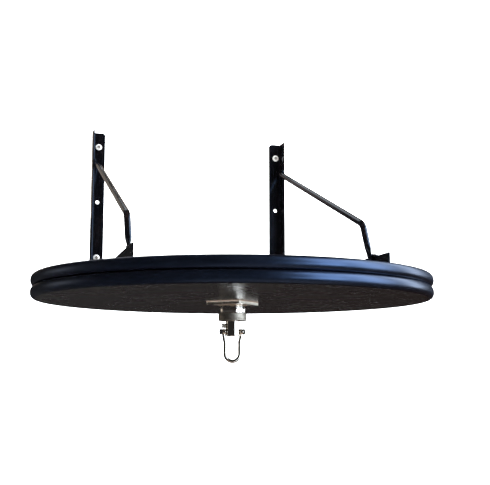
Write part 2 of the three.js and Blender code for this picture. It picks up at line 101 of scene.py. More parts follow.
class Graph:
    """A material's node graph, with its Principled shader and short calls for common nodes."""

    def __init__(self, name):
        self.material = bpy.data.materials.new(name)
        self.material.use_nodes = True
        self.nodes = self.material.node_tree.nodes
        self.links = self.material.node_tree.links
        self.shader = self.nodes["Principled BSDF"]

    def set(self, **values):
        """Sets shader sockets to values or links; specular_tint=... sets Specular Tint."""
        names = {"ior": "IOR", "specular": "Specular IOR Level", "base": "Base Color"}
        for key, value in values.items():
            socket = self.shader.inputs[names.get(key, key.replace("_", " ").title())]
            if isinstance(value, bpy.types.NodeSocket):
                self.links.new(value, socket)
            else:
                socket.default_value = value

    def make(self, kind, inputs=None, **settings):
        node = self.nodes.new("ShaderNode" + kind)
        for key, value in settings.items():
            setattr(node, key, value)
        for key, value in (inputs or {}).items():
            if isinstance(value, bpy.types.NodeSocket):
                self.links.new(value, node.inputs[key])
            else:
                node.inputs[key].default_value = value
        return node

    def place(self):
        """The object's coordinates, in metres."""
        return self.make("TexCoord").outputs["Object"]

    def math(self, operation, a, b=0.0, clamp=False):
        return self.make("Math", {0: a, 1: b}, operation=operation, use_clamp=clamp).outputs[0]

    def stretched(self, x, y, z):
        """The object's coordinates, each axis times a number."""
        inputs = {0: self.place(), 1: (x, y, z)}
        return self.make("VectorMath", inputs, operation="MULTIPLY").outputs[0]

    def noise(self, scale, detail=3.0, roughness=0.5, vector=None, distortion=0.0):
        inputs = {
            "Vector": vector or self.place(),
            "Scale": scale,
            "Detail": detail,
            "Roughness": roughness,
            "Distortion": distortion,
        }
        return self.make("TexNoise", inputs).outputs["Fac"]

    def band(self, value, low, high, start=0.0, end=1.0):
        """Maps low..high smoothly onto start..end, and stays at start or end outside it."""
        inputs = {"Value": value, "From Min": low, "From Max": high, "To Min": start, "To Max": end}
        return self.make("MapRange", inputs, interpolation_type="SMOOTHSTEP").outputs["Result"]

    def blend(self, amount, first, second):
        """Mixes two colours; amount 0 gives the first."""
        node = self.make("Mix", data_type="RGBA")
        factor, colour_a, colour_b = (node.inputs[i] for i in (0, 6, 7))
        for socket, value in ((factor, amount), (colour_a, first), (colour_b, second)):
            if isinstance(value, bpy.types.NodeSocket):
                self.links.new(value, socket)
            else:
                socket.default_value = value if isinstance(value, float) else (*value, 1)
        return node.outputs[2]

    def bump(self, height, depth, below=None):
        """Bump of a height from 0 to 1 that stands for a depth in metres."""
        inputs = {"Height": height, "Distance": depth, "Strength": 1.0}
        if below is not None:
            inputs["Normal"] = below
        return self.make("Bump", inputs).outputs["Normal"]

    def edges(self, radius):
        """1 on edges, 0 on flat faces: how far a bevelled normal leans away from the true one."""
        bevelled = self.make("Bevel", {"Radius": radius}, samples=4).outputs["Normal"]
        normal = self.make("NewGeometry").outputs["Normal"]
        dot = self.make("VectorMath", {0: bevelled, 1: normal}, operation="DOT_PRODUCT").outputs["Value"]
        return self.band(dot, 0.995, 0.90)

    def polar(self, centre, around, across):
        """(angle * around, distance from the centre line * across, height * across)."""
        away = self.make("VectorMath", {0: self.place(), 1: centre}, operation="SUBTRACT").outputs[0]
        x, y, z = self.make("SeparateXYZ", {0: away}).outputs
        angle = self.math("ARCTAN2", y, x)
        squares = self.math("ADD", self.math("MULTIPLY", x, x), self.math("MULTIPLY", y, y))
        radius = self.math("SQRT", squares)
        inputs = {
            0: self.math("MULTIPLY", angle, around),
            1: self.math("MULTIPLY", radius, across),
            2: self.math("MULTIPLY", z, across),
        }
        return self.make("CombineXYZ", inputs).outputs[0]


# ---- Materials ---------------------------------------------------------------------------------


def board_laminate():
    """Charcoal laminate with a fine grain and a few pale scuffs."""
    g = Graph("board_laminate")
    tone = g.noise(9, 4)
    fine = g.noise(900, 2)
    scuffs = g.band(g.noise(26, 6, 0.7, g.stretched(1, 5, 1), 0.6), 0.58, 0.80)
    base = g.blend(g.band(tone, 0.35, 0.7), (0.0062, 0.0059, 0.0058), (0.0073, 0.0071, 0.0070))
    base = g.blend(g.math("MULTIPLY", scuffs, 0.05), base, (0.040, 0.038, 0.036))
    rough = g.math("ADD", g.band(tone, 0.3, 0.75, 0.25, 0.29), g.math("MULTIPLY", scuffs, 0.01))
    g.set(base=base, roughness=rough, ior=1.5, normal=g.bump(fine, 0.000002, g.bump(tone, 0.00001)))
    return g.material


def edge_vinyl():
    """Glossy black vinyl with lines drawn along the bead and dust on it."""
    g = Graph("edge_vinyl")
    drawn = g.noise(1, 3, 0.5, g.polar(CENTRE, 5, 150))
    speckle = g.noise(420, 3)
    dust = g.band(g.noise(60, 5, 0.65), 0.62, 0.88)
    base = g.blend(g.band(drawn, 0.35, 0.7), (0.0008, 0.0007, 0.0011), (0.0014, 0.0012, 0.0018))
    base = g.blend(g.math("MULTIPLY", dust, 0.03), base, (0.05, 0.048, 0.045))
    rough = g.math("ADD", g.band(drawn, 0.3, 0.7, 0.29, 0.34), g.math("MULTIPLY", dust, 0.05))
    normal = g.bump(speckle, 0.000004, g.bump(drawn, 0.000012))
    g.set(base=base, roughness=rough, normal=normal)
    # The blue specular tint is a painted sheen: it colours the reflections blue, as blue window light
    # would.
    g.set(ior=1.5, specular=0.95, specular_tint=(0.32, 0.52, 1, 1))
    return g.material


def enamel(name, weld=0.0):
    """Gloss black enamel over steel: orange peel, brown smears, bare metal where edges have rubbed.

    weld is how much deeper a weld's lumps are, in metres.
    """
    g = Graph(name)
    peel = g.noise(330, 2)
    patches = g.noise(22, 5, 0.6)
    chips = g.noise(520, 4, 0.7)
    worn = g.math("MULTIPLY", g.edges(0.0007), g.band(chips, 0.52, 0.66), clamp=True)
    base = g.blend(g.band(patches, 0.50, 0.72), (0.0014, 0.0012, 0.0016), (0.0040, 0.0022, 0.0019))
    base = g.blend(worn, base, (0.20, 0.185, 0.17))
    rough = g.band(patches, 0.3, 0.75, 0.08, 0.17)
    rough = g.math("ADD", rough, g.math("MULTIPLY", worn, 0.15))
    lumps = g.noise(620, 3) if weld else patches
    normal = g.bump(peel, 0.00002, g.bump(lumps, 0.00005 + weld))
    g.set(base=base, roughness=rough, metallic=g.math("MULTIPLY", worn, 0.9), normal=normal)
    # The blue specular tint is a painted sheen: it colours the highlights blue, as blue window light would.
    g.set(ior=1.5, specular=0.8, specular_tint=(0.50, 0.68, 1, 1))
    return g.material


def plated_steel(name, bright, dull, rust_and_shade, rough, rust_from, metal=1.0):
    """Plated steel: fine scratches, dulled patches, rusty specks, and painted shade in the hollows.

    Its colour runs from bright to dull and rusts where a noise is above rust_from. The hollows, found by
    ambient occlusion, take the same rusty colour with less metal and more roughness: that is painted shade.
    """
    g = Graph(name)
    patches = g.noise(260, 4)
    scratch = g.noise(1500, 2, 0.5, g.stretched(1, 1, 6))
    rust_and_hollow_shade = g.band(g.noise(340, 6, 0.7), rust_from, rust_from + 0.14)
    # Ambient occlusion gives the hollows the rusty colour, less metal and more roughness: painted shade in
    # recesses and under heads.
    open_sky = g.make("AmbientOcclusion", {"Distance": 0.004}, samples=8).outputs["AO"]
    rust_and_hollow_shade = g.math("MAXIMUM", rust_and_hollow_shade, g.band(open_sky, 0.90, 0.50))
    base = g.blend(g.band(patches, 0.35, 0.7), bright, dull)
    base = g.blend(rust_and_hollow_shade, base, rust_and_shade)
    metallic = g.band(rust_and_hollow_shade, 0.0, 1.0, metal, 0.15)
    roughness = g.band(patches, 0.3, 0.7, rough, rough + 0.14)
    roughness = g.math("ADD", roughness, g.math("MULTIPLY", rust_and_hollow_shade, 0.35))
    g.set(base=base, metallic=metallic, roughness=roughness, normal=g.bump(scratch, 0.000006))
    return g.material


def chrome():
    """Polished chrome with a haze, hairlines round it and a few pits."""
    g = Graph("polished_chrome")
    haze = g.noise(120, 4, 0.6)
    hairline = g.noise(1, 3, 0.5, g.stretched(300, 300, 5200))
    pits = g.band(g.noise(1300, 3, 0.6), 0.72, 0.80)
    base = g.blend(g.band(haze, 0.35, 0.75), (0.82, 0.76, 0.68), (0.68, 0.62, 0.54))
    base = g.blend(g.math("MULTIPLY", pits, 0.6), base, (0.22, 0.16, 0.11))
    rough = g.math("ADD", g.band(haze, 0.3, 0.75, 0.045, 0.12), g.math("MULTIPLY", pits, 0.4))
    g.set(base=base, roughness=rough, metallic=1.0, normal=g.bump(hairline, 0.0000012))
    return g.material


def turned_steel():
    """Steel as it left the lathe: lines round the axis and a little stain."""
    g = Graph("turned_steel")
    lines = g.noise(1, 3, 0.6, g.polar(CENTRE, 2, 4200))
    stain = g.noise(150, 5, 0.6)
    base = g.blend(g.band(stain, 0.35, 0.7), (0.56, 0.51, 0.43), (0.43, 0.39, 0.33))
    rough = g.math("ADD", g.band(stain, 0.3, 0.7, 0.44, 0.54), g.math("MULTIPLY", lines, 0.08))
    normal = g.bump(lines, 0.000014, g.bump(stain, 0.00001))
    g.set(base=base, roughness=rough, metallic=1.0, normal=normal)
    return g.material


MATERIALS = {
    "board": board_laminate(),
    "edge_trim": edge_vinyl(),
    "bracket_paint": enamel("bracket_enamel"),
    "weld_paint": enamel("weld_enamel", weld=0.00012),
    # Each plated steel's third colour is both its rusty specks and the painted shade in its hollows.
    "zinc_screw": plated_steel(
        "zinc_plate", (0.72, 0.70, 0.66), (0.58, 0.56, 0.53), (0.05, 0.024, 0.014), 0.30, 0.68, metal=0.45),
    "dark_screw": plated_steel(
        "dark_steel", (0.075, 0.072, 0.070), (0.035, 0.033, 0.031), (0.06, 0.030, 0.016), 0.24, 0.62),
    "swivel_chrome": chrome(),
    "plate_steel": plated_steel(
        "plate_steel", (0.92, 0.85, 0.73), (0.74, 0.67, 0.56), (0.14, 0.075, 0.045), 0.30, 0.66),
    "turned_steel": turned_steel(),
    "bearing_steel": plated_steel(
        "bearing_steel", (0.72, 0.72, 0.74), (0.60, 0.60, 0.62), (0.30, 0.26, 0.2), 0.08, 0.74),
}
BODIES = frame["record"]["behaviour"]["bodies"]
BODY_OF = {node: body for body, nodes in BODIES.items() for node in nodes}
SLOT_OF = {part["node"]: part["material_slot"] for part in frame["record"]["subparts"]}

# ---- Mesh work ---------------------------------------------------------------------------------

ON_AXIS = 1e-7  # a radius below this is a point on the axis


def mesh_object(name, bm):
    bmesh.ops.recalc_face_normals(bm, faces=bm.faces)
    data = bpy.data.meshes.new(name)
    bm.to_mesh(data)
    bm.free()
    obj = bpy.data.objects.new(name, data)
    bpy.context.scene.collection.objects.link(obj)
    return obj


def applied(obj):
    """Turns the object's modifiers into its mesh."""
    bpy.context.view_layer.update()
    made = bpy.data.meshes.new_from_object(obj.evaluated_get(bpy.context.evaluated_depsgraph_get()))
    obj.modifiers.clear()
    old, obj.data = obj.data, made
    bpy.data.meshes.remove(old)
    return obj


def remove(obj):
    data = obj.data
    bpy.data.objects.remove(obj)
    bpy.data.meshes.remove(data)


def combined(obj, others, operation="DIFFERENCE"):
    """Cuts the others out of obj, or joins them to it, and removes them."""
    for other in others:
        modifier = obj.modifiers.new("combine", "BOOLEAN")
        modifier.operation = operation
        modifier.solver = "EXACT"
        modifier.object = other
        applied(obj)
        remove(other)
    return obj


def softened(obj, width, segments=2, angle=35):
    """Rounds every edge sharper than the angle."""
    modifier = obj.modifiers.new("soften", "BEVEL")
    modifier.width = width
    modifier.segments = segments
    modifier.limit_method = "ANGLE"
    modifier.angle_limit = math.radians(angle)
    modifier.use_clamp_overlap = True
    return applied(obj)


def remeshed(obj, voxel, smoothing):
    """Melts overlapping lumps into one skin."""
    modifier = obj.modifiers.new("remesh", "REMESH")
    modifier.mode = "VOXEL"
    modifier.voxel_size = voxel
    smooth = obj.modifiers.new("smooth", "SMOOTH")
    smooth.factor = 0.5
    smooth.iterations = smoothing
    return applied(obj)


def finished(obj, node, sharp=35):
    """Makes obj the piece that stands for a CAD node: its look, its body and its slot."""
    obj.name = node + "_skin"
    obj.data.shade_smooth()
    obj.data.set_sharp_from_angle(angle=math.radians(sharp))
    modifier = obj.modifiers.new("flat_faces_stay_flat", "WEIGHTED_NORMAL")
    modifier.keep_sharp = True
    applied(obj)
    obj.data.name = obj.name
    obj.data.materials.clear()
    obj.data.materials.append(MATERIALS[SLOT_OF[node]])
    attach(obj, BODY_OF[node])
    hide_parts(node)


def fillet(points, radius, steps=4, closed=False):
    """Rounds the corners of a 2D outline. radius is one number, or one for each point."""
    count = len(points)
    radii = radius if isinstance(radius, (list, tuple)) else [radius] * count
    out = []
    for i, (point, size) in enumerate(zip(points, radii)):
        here = Vector(point)
        if size == 0 or (not closed and i in (0, count - 1)):
            out.append(here)
            continue
        back = Vector(points[i - 1]) - here
        ahead = Vector(points[(i + 1) % count]) - here
        half = back.angle(ahead) / 2
        reach = min(size / math.tan(half), back.length * 0.49, ahead.length * 0.49)
        middle = here + (back.normalized() + ahead.normalized()).normalized() * reach / math.cos(half)
        start = here + back.normalized() * reach - middle
        end = here + ahead.normalized() * reach - middle
        turn = math.atan2(start.x * end.y - start.y * end.x, start.dot(end))
        for k in range(steps + 1):
            out.append(middle + Matrix.Rotation(turn * k / steps, 2) @ start)
    return out


def grid_faces(bm, rings, close_rings=False):
    """Faces between rings of vertices; a ring may be a single vertex, on the axis."""
    pairs = zip(rings, rings[1:] + rings[:1]) if close_rings else zip(rings, rings[1:])
    for lower, upper in pairs:
        count = max(len(lower), len(upper))
        for j in range(count):
            k = (j + 1) % count
            corners = []
            for ring, order in ((lower, (j, k)), (upper, (k, j))):
                for index in order:
                    vertex = ring[index % len(ring)]
                    if vertex not in corners:
                        corners.append(vertex)
            if len(corners) > 2:
                bm.faces.new(corners)


def polygon(radius, sides):
    angles = (2 * math.pi * j / sides for j in range(sides))
    return [(radius * math.cos(a), radius * math.sin(a)) for a in angles]


def revolved(name, profile, segments, centre=(0, 0, 0), closed=True):
    """A body of revolution about a vertical line; profile points are (radius, z).

    A closed profile is a loop; an open one starts and ends on the axis.
    """
    bm = bmesh.new()
    cx, cy, cz = centre
    rings = []
    for radius, z in profile:
        ring = polygon(radius, segments) if radius > ON_AXIS else [(0, 0)]
        rings.append([bm.verts.new((cx + x, cy + y, cz + z)) for x, y in ring])
    grid_faces(bm, rings, closed)
    return mesh_object(name, bm)


def capped_tube(bm, rings):
    grid_faces(bm, rings)
    bm.faces.new(rings[0])
    bm.faces.new(rings[-1])


def prism(name, outline, low, high, to_frame=None):
    """An outline in X-Y extruded from low to high in Z, then moved by a matrix."""
    bm = bmesh.new()
    rings = [[bm.verts.new((x, y, z)) for x, y in outline] for z in (low, high)]
    capped_tube(bm, rings)
    bm.transform(to_frame or Matrix.Identity(4))
    return mesh_object(name, bm)


def swept(name, path, across, section):
    """A tube along a path in a plane.

    across points out of the plane, and section(i) lists the outline at point i as (across, in plane).
    """
    bm = bmesh.new()
    rings = []
    for i, point in enumerate(path):
        along = (path[min(i + 1, len(path) - 1)] - path[max(i - 1, 0)]).normalized()
        in_plane = along.cross(across)
        rings.append([bm.verts.new(point + across * a + in_plane * b) for a, b in section(i)])
    capped_tube(bm, rings)
    return mesh_object(name, bm)


def bar(name, radius, start, end, sides=48):
    """A round bar between two points."""
    start, end = Vector(start), Vector(end)
    turn = (end - start).to_track_quat("Z", "Y").to_matrix().to_4x4()
    place = Matrix.Translation(start) @ turn
    return prism(name, polygon(radius, sides), 0, (end - start).length, place)


def mirrored(obj):
    """A copy on the other side of X = 0."""
    bm = bmesh.new()
    bm.from_mesh(obj.data)
    bm.transform(Matrix.Scale(-1, 4, (1, 0, 0)))
    return mesh_object("twin", bm)


def pair(part, obj, sharp=35):
    """The right-hand piece and its mirror image on the left."""
    twin = mirrored(obj)
    finished(obj, "right_" + part, sharp)
    finished(twin, "left_" + part, sharp)


# ---- Board and edge trim -----------------------------------------------------------------------

BOARD_SEGMENTS = 192
TRIM_SEAM = 0.5 * MM  # where the ends of a trim meet, at the wall


def make_board(node):
    low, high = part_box(node)
    edge = 0.4 * MM
    halfway = BOARD_RADIUS / 2  # a ring that keeps the faces from being slivers
    corners = [(0, low.z), (halfway, low.z), (BOARD_RADIUS, low.z)]
    corners += [(BOARD_RADIUS, high.z), (halfway, high.z), (0, high.z)]
    profile = fillet(corners, [0, 0, edge, edge, 0, 0], 3)
    finished(revolved(node, profile, BOARD_SEGMENTS, CENTRE, closed=False), node)


def make_trim(node):
    """A half-round bead on a thin strip, bent round the board, with a butt joint at the back."""
    low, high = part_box(node)
    strip = 1.0 * MM
    inside = BOARD_RADIUS + 0.3 * MM
    bulge = TRIM_RADIUS - inside - strip
    middle = (low.z + high.z) / 2
    half = (high.z - low.z) / 2 - 0.1 * MM
    bead = []
    steps = 20
    for i in range(steps + 1):
        angle = -math.pi / 2 + math.pi * i / steps
        bead.append((inside + strip + bulge * math.cos(angle), middle + half * math.sin(angle)))
    profile = [(inside, low.z), *bead, (inside, high.z)]
    bm = bmesh.new()
    opening = TRIM_SEAM / TRIM_RADIUS
    rings = []
    for i in range(BOARD_SEGMENTS + 1):
        angle = math.pi / 2 + opening / 2 + (2 * math.pi - opening) * i / BOARD_SEGMENTS
        out_x, out_y = math.cos(angle), math.sin(angle)
        rings.append([bm.verts.new((CENTRE.x + r * out_x, CENTRE.y + r * out_y, z)) for r, z in profile])
    capped_tube(bm, rings)
    finished(mesh_object(node, bm), node, 50)


for level in ("upper", "lower"):
    make_board(level + "_board")
    make_trim(level + "_edge_trim")

# ---- Brackets ----------------------------------------------------------------------------------

ANGLE_WIDTH = 25 * MM
ANGLE_THICK = 3 * MM
CLEARANCE = 0.1 * MM  # between a screw's seat and what it holds
EDGE = 0.35 * MM  # the rounding of a sawn or drilled edge
WALL_HOLE = 3.5 * MM  # radius
ARM_HOLE = 3.25 * MM  # radius


def angle_outline():
    """The section of a rolled angle with its heel at the origin."""
    w, t = ANGLE_WIDTH, ANGLE_THICK
    corners = [(0, 0), (w, 0), (w, t), (t, t), (t, w), (0, w)]
    radii = [0.7 * MM, 0.25 * MM, 0.9 * MM, 1.2 * MM, 0.9 * MM, 0.25 * MM]
    return [tuple(p) for p in fillet(corners, radii, 6, closed=True)]


def make_uprights():
    """Angles on the wall with three holes each; the middle ones stay open."""
    low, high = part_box("right_upright")
    heel = Matrix.Translation((high.x, high.y, 0)) @ Matrix.Rotation(math.pi, 4, "Z")
    upright = prism("upright", angle_outline(), low.z, high.z, heel)
    hole_x = middle_of("right_upper_wall_screw")[0]
    heights = [middle_of(f"right_{level}_wall_screw")[2] for level in ("upper", "lower")]
    heights.append(sum(heights) / 2)
    cutters = [bar("hole", WALL_HOLE, (hole_x, -0.02, z), (hole_x, 0.02, z)) for z in heights]
    corner = 6 * MM
    arc = [(corner * math.cos(a), corner * math.sin(a))
           for a in (math.pi / 2 * (1 + i / 12) for i in range(13))]
    outside_arc = [*arc, (-2 * corner, 0), (-2 * corner, 2 * corner), (0, 2 * corner)]
    stand = Matrix.Translation((low.x + corner, -0.01, high.z - corner))
    cutters.append(
        prism("corner", outside_arc, -0.02, 0.0095, stand @ Matrix.Rotation(math.pi / 2, 4, "X")))
    pair("upright", softened(combined(upright, cutters), EDGE))


def make_arms():
    """Angles on the board: one leg lies flat, drilled for the screws, and one stands outside."""
    low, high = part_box("right_arm")
    lie = Matrix(((-1, 0, 0, high.x), (0, 0, 1, 0), (0, 1, 0, low.z), (0, 0, 0, 1)))
    arm = prism("arm", angle_outline(), low.y, high.y, lie)
    cutters = []
    for i in (1, 2, 3):
        x, y, _ = middle_of(f"right_board_screw_{i}")
        cutters.append(bar("hole", ARM_HOLE, (x, y, -0.01), (x, y, 0.01)))
    pair("arm", softened(combined(arm, cutters), EDGE))


BRACE_RADIUS = 5 * MM
BRACE_BEND_RADIUS = 24 * MM
BLADE = 2 * MM  # half the thickness of the flattened foot
BLADE_WIDTH = 6.5 * MM  # half its width
FLAT_FROM, FLAT_TO = 42 * MM, 28 * MM  # heights where the flattening starts and ends
BEND_FROM_FOOT = Vector((0, 33 * MM, 71.5 * MM))


def brace_ends():
    """The rod's axis at its top, bend and foot, worked out from its CAD box."""
    low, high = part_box("right_brace")
    x = middle_of("right_brace")[0]
    leg = BEND_FROM_FOOT.normalized()
    foot = Vector((x, low.y + BLADE_WIDTH * leg.z, low.z + BLADE_WIDTH * leg.y))
    bend = foot + BEND_FROM_FOOT
    top = Vector((x, high.y, high.z))
    for _ in range(4):
        run = (top - bend).normalized()
        top = Vector((x, high.y - BRACE_RADIUS * run.z, high.z - BRACE_RADIUS * run.y))
    return top, bend, foot


def make_braces():
    """Round rods with one bend, their feet pressed flat."""
    top, bend, foot = brace_ends()
    back, down = (top - bend).normalized(), (foot - bend).normalized()
    half = back.angle(down) / 2
    reach = BRACE_BEND_RADIUS / math.tan(half)
    middle = bend + (back + down).normalized() * BRACE_BEND_RADIUS / math.sin(half)
    start = bend + back * reach - middle
    turn = math.pi - 2 * half
    arc_steps = 14
    arc = [middle + Matrix.Rotation(turn * i / arc_steps, 3, "X") @ start for i in range(arc_steps + 1)]
    straight_steps, leg_steps = 24, 22
    path = [top.lerp(arc[0], i / straight_steps) for i in range(straight_steps)] + arc
    path += [arc[-1].lerp(foot, i / leg_steps) for i in range(1, leg_steps + 1)]
    sides = 32

    def section(i):
        """A circle, turning into a flat oblong with rounded sides below the bend."""
        t = min(max((FLAT_FROM - path[i].z) / (FLAT_FROM - FLAT_TO), 0), 1) if i > straight_steps else 0
        flat = t * t * (3 - 2 * t)
        wide = BRACE_RADIUS + (BLADE - BRACE_RADIUS) * flat
        deep = BRACE_RADIUS + (BLADE_WIDTH - BRACE_RADIUS) * flat
        squareness = 1 - 0.35 * flat
        out = []
        for c, s in polygon(1, sides):
            out.append((wide * math.copysign(abs(c) ** squareness, c),
                        deep * math.copysign(abs(s) ** squareness, s)))
        return out

    rod = swept("brace", path, Vector((1, 0, 0)), section)
    pair("brace", softened(rod, 0.6 * MM, 3, 50))


def make_weld(part, path, radius, seed):
    """Weld metal laid in overlapping drops along a path, melted into one lump."""
    bm = bmesh.new()
    drop = 1.3 * MM
    for start, end in zip(path, path[1:]):
        count = max(1, round((end - start).length / drop))
        for i in range(count + 1):
            at = start.lerp(end, i / count)
            wobble = noise.noise(at * 900 + Vector((seed, 0, 0)))
            size = radius * (1 + 0.16 * wobble)
            place = Matrix.Translation(at + Vector((0, 0, wobble * 0.3 * MM)))
            bmesh.ops.create_icosphere(bm, subdivisions=3, radius=size, matrix=place)
    lump = mesh_object(part, bm)
    pair(part, remeshed(lump, 0.32 * MM, 3), 80)


def make_welds():
    top, bend, foot = brace_ends()
    run = (top - bend).normalized()
    lift = Vector((0, -run.z, run.y))  # at right angles to the rod, upwards
    flange_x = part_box("right_upright")[1].x - ANGLE_THICK
    on_flange = Vector((flange_x - 1.2 * MM, 0, 0))
    seat = Vector((0, top.y, top.z)) + lift * (BRACE_RADIUS + 0.2 * MM)
    path = [on_flange + seat - run * back for back in (15 * MM, 7 * MM, MM)]
    make_weld("brace_top_weld", path, 2.4 * MM, 1)

    low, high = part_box("right_brace_foot_weld")
    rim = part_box("right_arm")[1].z
    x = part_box("right_arm")[1].x - ANGLE_THICK * 0.9
    path = [
        Vector((x, high.y - 2 * MM, rim + 1.6 * MM)),
        Vector((x, (low.y + high.y) / 2, rim + 0.9 * MM)),
        Vector((x, low.y + 2 * MM, rim - 0.8 * MM)),
    ]
    make_weld("brace_foot_weld", path, 2.5 * MM, 2)

    low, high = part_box("right_corner_weld")
    x, y = low.x + 0.7 * MM, high.y - 0.9 * MM
    path = [Vector((x, y, low.z + 2 * MM)), Vector((x, y, high.z - 1.5 * MM))]
    make_weld("corner_weld", path, 2.1 * MM, 3)


make_uprights()
make_arms()
make_braces()
make_welds()

# ---- Screws ------------------------------------------------------------------------------------


def threaded(root, crest, pitch, length, tip=0.0, sides=24):
    """A closed screw shank from z = 0 down, with a helical ridge; it narrows to a point over tip."""
    bm = bmesh.new()
    rows_per_turn = 8
    blunt = 0.05 * MM  # radius of the very end
    rows = int(length / pitch * rows_per_turn)
    rings = [[bm.verts.new((0, 0, 0))]]
    for i in range(rows + 1):
        z = length * i / rows
        run_in = min(z / pitch, 1)
        taper = run_in * min((length - z) / tip, 1) if tip else 1
        ring = []
        for j, (x, y) in enumerate(polygon(1, sides)):
            phase = (z / pitch - j / sides) % 1
            ridge = max(0.0, 1 - abs(phase - 0.5) * 4)
            radius = (root + (crest - root) * ridge * run_in) * taper
            radius = max(radius, blunt) if i else root
            ring.append(bm.verts.new((radius * x, radius * y, z)))
        rings.append(ring)
    rings.append([bm.verts.new((0, 0, length + blunt))])
    grid_faces(bm, rings)
    bm.transform(Matrix.Rotation(math.pi, 4, "X"))
    return mesh_object("thread", bm)


def cross_recess(width, top, depth):
    """A tapered cross-shaped cutter that goes down from z = top."""
    arm, web = width / 2, width / 4.4  # half the length and half the width of its two bars
    corner = [(arm, web), (web, web), (web, arm)]
    outline = []
    for quarter in range(4):
        turn = Matrix.Rotation(math.pi / 2 * quarter, 2)
        outline += [turn @ Vector(p) for p in corner]
    bm = bmesh.new()
    rings = []
    for z, size in ((top + MM, 1.25), (top, 1.0), (top - depth, 0.45)):
        rings.append([bm.verts.new((p.x * size, p.y * size, z)) for p in outline])
    capped_tube(bm, rings)
    return mesh_object("recess", bm)


def make_screw(node, head_profile, recess, shank, along, seat):
    """A screw made head up along +Z with its seat at z = 0, then turned so that +Z is `along`.

    shank is (root radius, crest radius, pitch, length), and recess is (width, top, depth).
    """
    head = revolved("head", head_profile, 48, closed=False)
    combined(head, [cross_recess(*recess)])
    softened(head, 0.12 * MM, 2, 40)
    crest = shank[1]
    screw = combined(head, [threaded(*shank, tip=3.5 * crest)], "UNION")
    turn = Vector(along).to_track_quat("Z", "Y").to_matrix().to_4x4()
    screw.data.transform(Matrix.Translation(seat) @ turn)
    finished(screw, node, 40)


def domed_head(radius, height):
    """A pan head: a short rim with a low dome on it."""
    rim = height * 0.55
    dome = [(radius * math.cos(a), rim + (height - rim) * math.sin(a))
            for a in (math.pi / 2 * i / 12 for i in range(13))]
    dome[-1] = (0, height)
    hub = -0.2 * MM  # the underside is a shallow cone that dips into the hole
    seat = fillet([(0.3 * radius, hub), (radius * 0.97, 0), dome[0]], 0.3 * MM, 3)[:-1]
    return [(0, hub), *seat, *dome]


def make_wall_screws():
    for side in SIDES:
        for level in ("upper", "lower"):
            node = f"{side}_{level}_wall_screw"
            low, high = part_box(node)
            x, _, z = middle_of(node)
            seat_y = -ANGLE_THICK - CLEARANCE
            height = seat_y - low.y
            head = domed_head((high.x - low.x) / 2, height)
            recess = (7.4 * MM, height, 2.6 * MM)
            shank = (2.0 * MM, 2.7 * MM, 1.9 * MM, high.y - seat_y - 0.1 * MM)
            make_screw(node, head, recess, shank, (0, -1, 0), (x, seat_y, z))


HEX_RADIUS = 4.6 * MM  # to the corners


def chamfered_hex(low, high, both_ends=False):
    """A hexagon from low to high in Z, its corners turned off at the top or at both ends."""
    body = prism("hexagon", polygon(HEX_RADIUS, 6), low, high)
    face = HEX_RADIUS * math.cos(math.pi / 6) * 0.97  # radius of a turned end's flat face
    over = 2 * MM
    drop = over * math.tan(math.radians(30))
    if both_ends:
        profile = [(0, low), (face, low), (face + over, low + drop)]
    else:
        profile = [(0, low - over), (HEX_RADIUS * 2, low - over)]
    profile += [(face + over, high - drop), (face, high), (0, high)]
    return combined(body, [revolved("turning", profile, 64, closed=False)], "INTERSECT")


def make_board_screws():
    """Hexagon-headed screws with a washer face, each turned as it was driven."""
    for side in SIDES:
        for i in (1, 2, 3):
            node = f"{side}_board_screw_{i}"
            low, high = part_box(node)
            x, y, _ = middle_of(node)
            seat_z = ANGLE_THICK + CLEARANCE
            rim = (high.x - low.x) / 2
            corners = [(0, 0), (rim, 0), (rim, 1.0 * MM), (rim * 0.8, 1.3 * MM), (0, 1.3 * MM)]
            profile = fillet(corners, [0, 0.2 * MM, 0.3 * MM, 0, 0], 3)
            washer = revolved("washer", profile, 48, closed=False)
            hexagon = chamfered_hex(1.0 * MM, high.z - seat_z)
            hexagon.data.transform(Matrix.Rotation(0.5 * i + 0.3, 4, "Z"))
            head = softened(combined(washer, [hexagon], "UNION"), 0.2 * MM, 2, 40)
            length = seat_z - low.z - 0.1 * MM
            thread = threaded(1.9 * MM, 2.6 * MM, 1.8 * MM, length, tip=8 * MM)
            screw = combined(head, [thread], "UNION")
            screw.data.transform(Matrix.Translation((x, y, seat_z)))
            finished(screw, node, 40)


def make_plate_screws():
    """Countersunk screws whose heads stand a little proud in the middle."""
    for i in (1, 2, 3, 4):
        node = f"swivel_plate_screw_{i}"
        low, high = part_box(node)
        x, y, _ = middle_of(node)
        rim = (high.x - low.x) / 2
        sink = 2.6 * MM
        corners = [(0, -sink), (1.9 * MM, -sink), (rim, -0.25 * MM), (rim * 0.97, 0), (0, 0.35 * MM)]
        head = fillet(corners, [0, 0, 0.15 * MM, 0.15 * MM, 0], 3)
        recess = (5.0 * MM, 0.3 * MM, 1.8 * MM)
        shank = (1.7 * MM, 2.2 * MM, 1.6 * MM, high.z - low.z - 0.1 * MM)
        make_screw(node, head, recess, shank, (0, 0, -1), (x, y, low.z + 0.1 * MM))


make_wall_screws()
make_board_screws()
make_plate_screws()

# ---- Swivel ------------------------------------------------------------------------------------

FINE = 128  # facets round the swivel's turned pieces
CAVITY = 16.5 * MM  # radius inside the housing
SPINDLE_RADIUS = 10.3 * MM
RING_BORE = 10.7 * MM
RACE_BORE = 10.8 * MM
RACE_GAP = 0.3 * MM  # between a race and what holds it
CAGE_RADIUS = 16.1 * MM
BALL_GAP = 0.15 * MM  # round a ball in its pocket
BALLS = 8
PIN_BORE = 2.8 * MM  # radius
LOCK_BORE = 2.3 * MM  # radius


def turned_piece(node, profile, radii, segments=FINE):
    """A turned piece about the board's centre line; profile is a closed loop of (radius, z)."""
    outline = fillet(profile, radii, 4, closed=True)
    finished(revolved(node, outline, segments, CENTRE), node)


